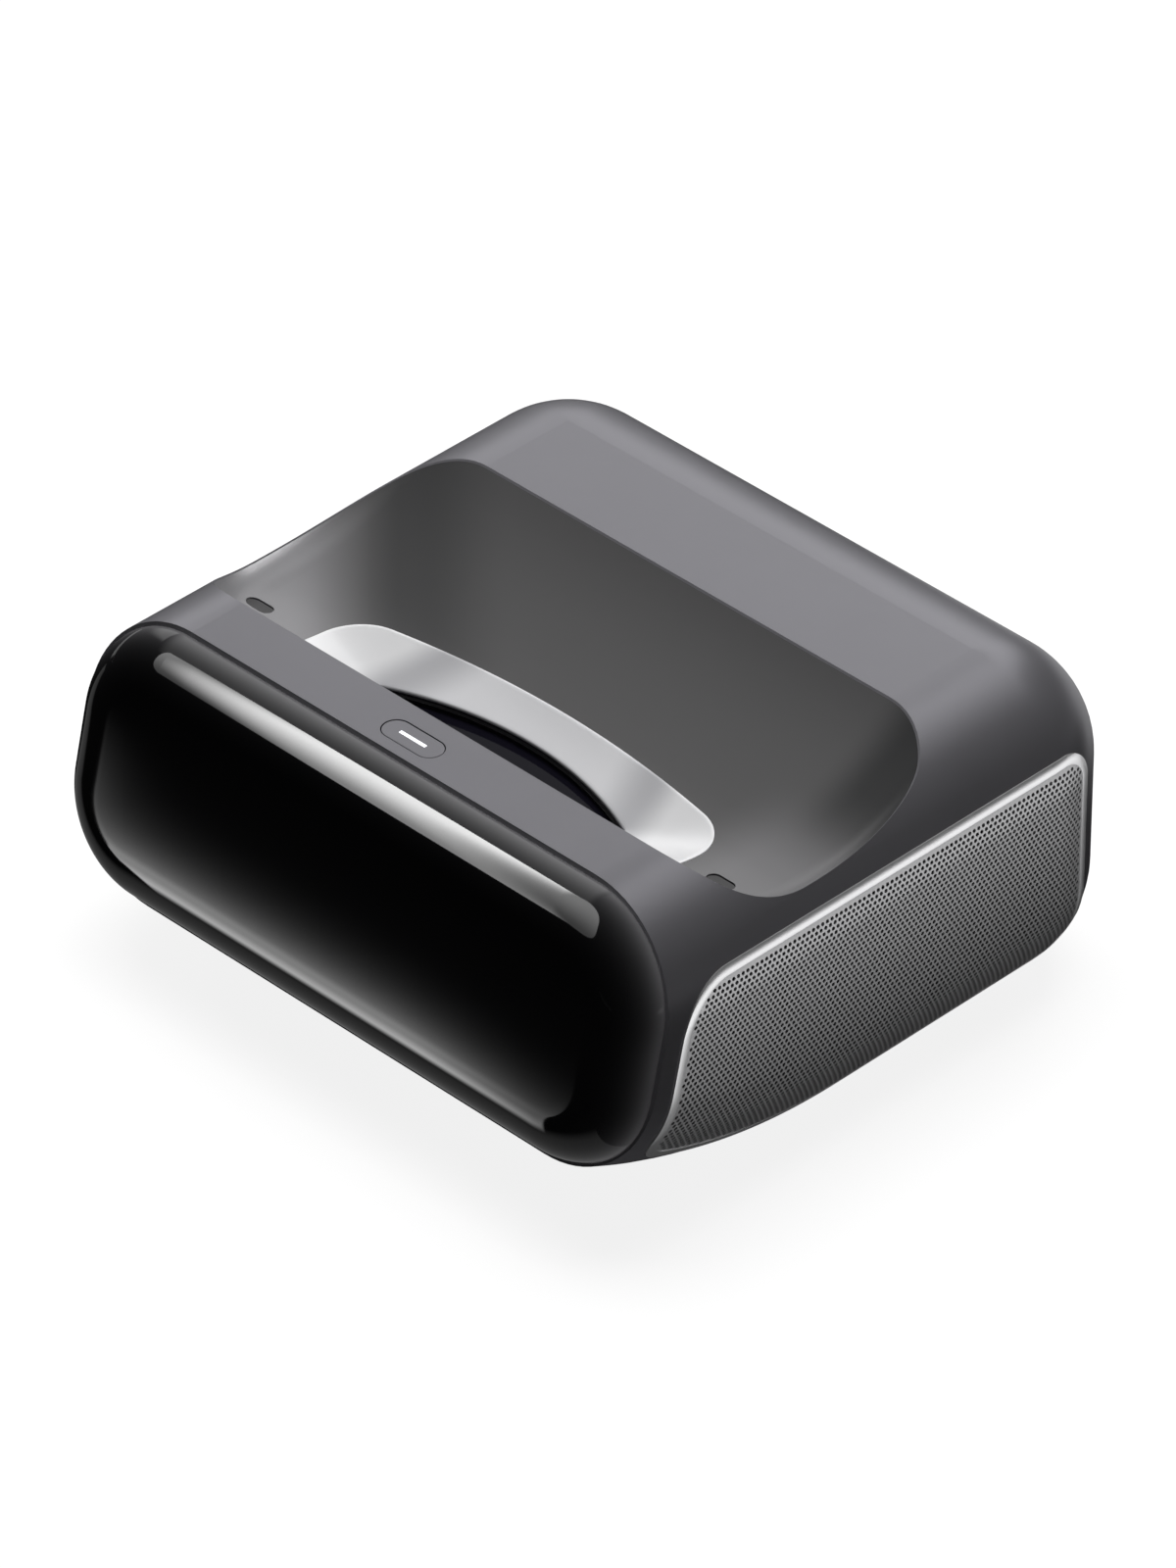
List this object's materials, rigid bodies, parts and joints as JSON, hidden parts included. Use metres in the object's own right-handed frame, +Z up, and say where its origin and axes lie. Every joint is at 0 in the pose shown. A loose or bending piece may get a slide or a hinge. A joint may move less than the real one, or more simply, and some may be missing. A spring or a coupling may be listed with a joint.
{
  "type": "ultra short throw projector",
  "caption": "Short-throw projector: rounded box with a gloss front, a scooped top over the lens window, side grilles, a press button, fans and a geared focus drive.",
  "frame": {"origin": "on the table, under the middle of the body", "axes": "+X right as seen from the front, front faces -Y, +Z up"},
  "size_m": [0.2996, 0.2754, 0.141],
  "materials": {
    "body_shell": "satin dark grey",
    "front_gloss": "high gloss black",
    "scoop_dark": "matte dark grey",
    "surround_silver": "satin silver paint",
    "window_glass": "coated dark glass",
    "sensor_glass": "smoked gloss",
    "grille_metal": "perforated satin sheet",
    "button_cap": "satin dark grey",
    "light_white": "translucent white",
    "base_plastic": "fine texture black",
    "rear_plastic": "fine texture black",
    "foot_rubber": "matte black",
    "screw_steel": "zinc",
    "insert_brass": "turned",
    "sheet_steel": "galvanised sheet",
    "cast_case": "as cast",
    "barrel_black": "black anodised",
    "ring_plastic": "moulded black",
    "gear_white": "moulded white",
    "motor_can": "plated can",
    "lens_glass": "coated",
    "mirror_face": "front coated",
    "laser_metal": "dark anodised",
    "copper_pipe": "copper tone",
    "fin_metal": "bright sheet",
    "fan_plastic": "moulded black",
    "speaker_plastic": "moulded black",
    "driver_steel": "black paint",
    "cone_paper": "pressed cone",
    "board_green": "solder mask",
    "port_steel": "plated shell",
    "port_black": "moulded black",
    "frame_plastic": "moulded black"
  },
  "bodies": {
    "base": {"aspheric_mirror": "mirror_face", "board_standoffs": "insert_brass", "bottom_cover": "base_plastic", "button_board": "board_green", "button_switch": "port_black", "chassis_plate": "sheet_steel", "connector_board": "board_green", "cover_screws": "screw_steel", "fixed_lenses": "lens_glass", "focus_motor": "motor_can", "front_frame": "frame_plastic", "front_panel": "front_gloss", "heat_pipes": "copper_pipe", "heat_sink": "fin_metal", "imager_board": "board_green", "imager_heat_sink": "laser_metal", "laser_module": "laser_metal", "left_fan_bracket": "sheet_steel", "left_fan_frame": "fan_plastic", "left_grille": "grille_metal", "left_sensor_window": "sensor_glass", "left_speaker_box": "speaker_plastic", "left_speaker_cone": "cone_paper", "left_speaker_driver": "driver_steel", "lens_barrel": "barrel_black", "lens_frame": "frame_plastic", "lens_surround": "surround_silver", "lens_window": "window_glass", "light_engine_case": "cast_case", "light_engine_cover": "cast_case", "main_board": "board_green", "mains_inlet": "port_black", "network_socket": "port_black", "optics_cradle": "frame_plastic", "power_board": "board_green", "rear_panel": "rear_plastic", "right_fan_bracket": "sheet_steel", "right_fan_frame": "fan_plastic", "right_grille": "grille_metal", "right_sensor_window": "sensor_glass", "right_speaker_box": "speaker_plastic", "right_speaker_cone": "cone_paper", "right_speaker_driver": "driver_steel", "rubber_feet": "foot_rubber", "scoop_panel": "scoop_dark", "sensor_boards": "board_green", "threaded_inserts": "insert_brass", "top_housing": "body_shell", "usb_socket": "port_steel", "video_sockets": "port_steel"},
    "button": {"power_button": "button_cap", "button_light_guide": "light_white"},
    "right_fan": {"right_fan_rotor": "fan_plastic"},
    "left_fan": {"left_fan_rotor": "fan_plastic"},
    "focus_ring": {"focus_ring": "ring_plastic"},
    "focus_cell": {"focus_cell": "barrel_black", "focus_lens": "lens_glass"},
    "focus_pinion": {"focus_pinion": "gear_white"}
  },
  "joints": [
    {"name": "power_button_press", "type": "slide", "parent": "base", "child": "button", "axis": [0, 0, -1], "range_m": [0, 0.0008], "stiffness_N_per_m": 800},
    {"name": "right_fan_spin", "type": "hinge", "parent": "base", "child": "right_fan", "pos_m": [0.118, 0.053, 0.06], "axis": [1, 0, 0], "continuous": true},
    {"name": "left_fan_spin", "type": "hinge", "parent": "base", "child": "left_fan", "pos_m": [-0.118, 0.053, 0.06], "axis": [1, 0, 0], "continuous": true},
    {"name": "focus_ring_turn", "type": "hinge", "parent": "base", "child": "focus_ring", "pos_m": [0, -0.03, 0.046], "axis": [0, 1, 0], "range_deg": [-30, 30]},
    {"name": "focus_cell_slide", "type": "slide", "parent": "base", "child": "focus_cell", "axis": [0, 1, 0], "range_m": [-0.0015, 0.0015]},
    {"name": "focus_pinion_turn", "type": "hinge", "parent": "base", "child": "focus_pinion", "pos_m": [0.0401, -0.03, 0.046], "axis": [0, 1, 0], "range_deg": [-171, 171]}
  ],
  "couplings": [
    {"joint": "focus_cell_slide", "follows": "focus_ring_turn", "m_per_rad": 0.0028647},
    {"joint": "focus_pinion_turn", "follows": "focus_ring_turn", "ratio": -5.6667}
  ]
}
